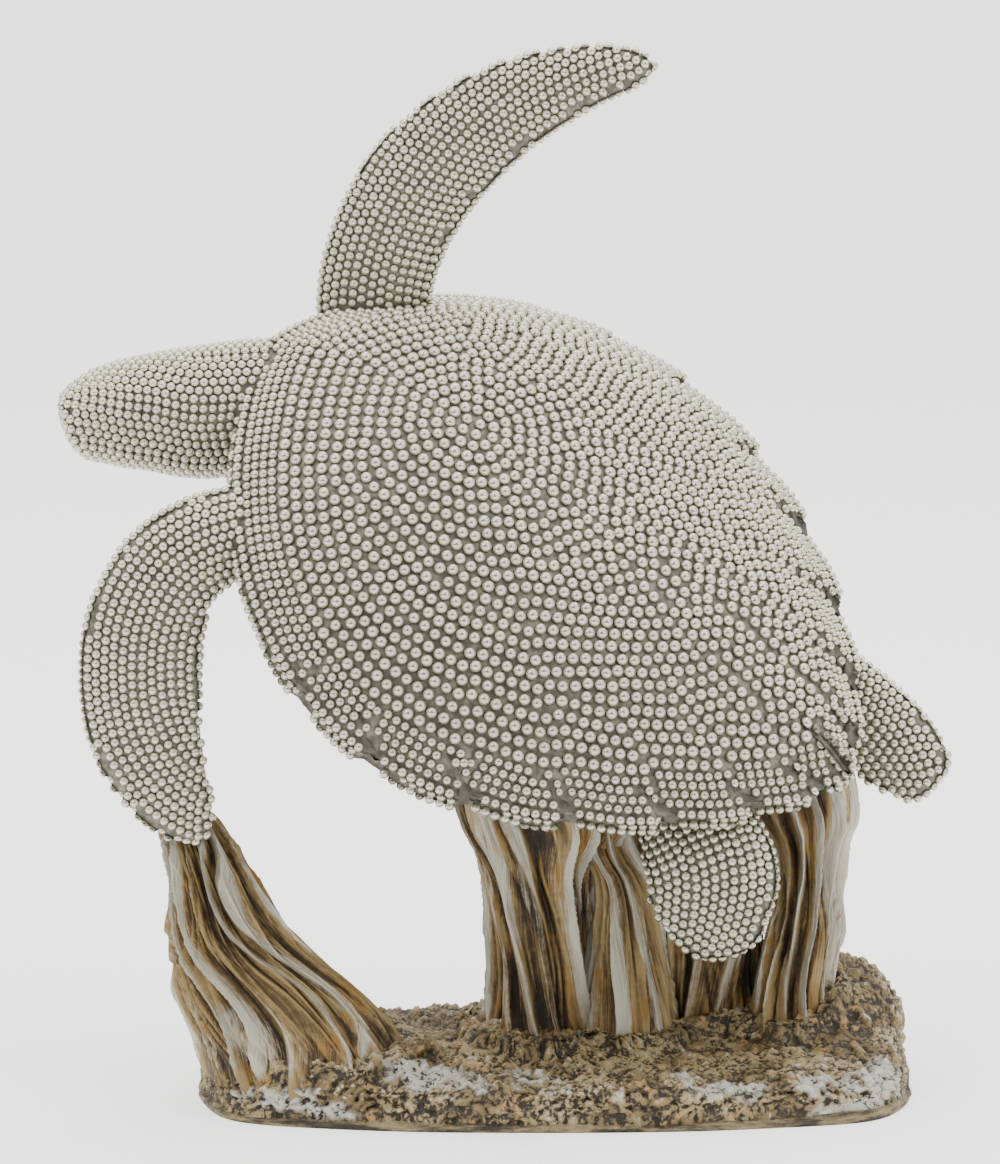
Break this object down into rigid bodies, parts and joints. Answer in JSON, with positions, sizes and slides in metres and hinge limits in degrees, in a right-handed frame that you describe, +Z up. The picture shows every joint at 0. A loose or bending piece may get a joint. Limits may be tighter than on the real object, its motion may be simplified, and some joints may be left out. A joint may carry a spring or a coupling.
{
  "type": "resin turtle figurine",
  "caption": "Cast resin figurine of a beaded sea turtle swimming up over fluted kelp stalks on a low rock, standing on its flat underside.",
  "frame": {"origin": "middle of the rock's flat underside, on the surface that it stands on", "axes": "+Z up, +X to the viewer's right with the turtle's head at -X, +Y away from the viewer who sees the shell's back"},
  "size_m": [0.2355, 0.1193, 0.2744],
  "materials": {
    "beaded_silver": "resin painted champagne silver with a grey-brown wash between the beads",
    "antique_champagne": "resin painted antique brown with champagne-silver rubbed over the ridges and golden streaks"
  },
  "bodies": {
    "root": {"turtle": "beaded_silver", "kelp_base": "antique_champagne"}
  },
  "joints": []
}
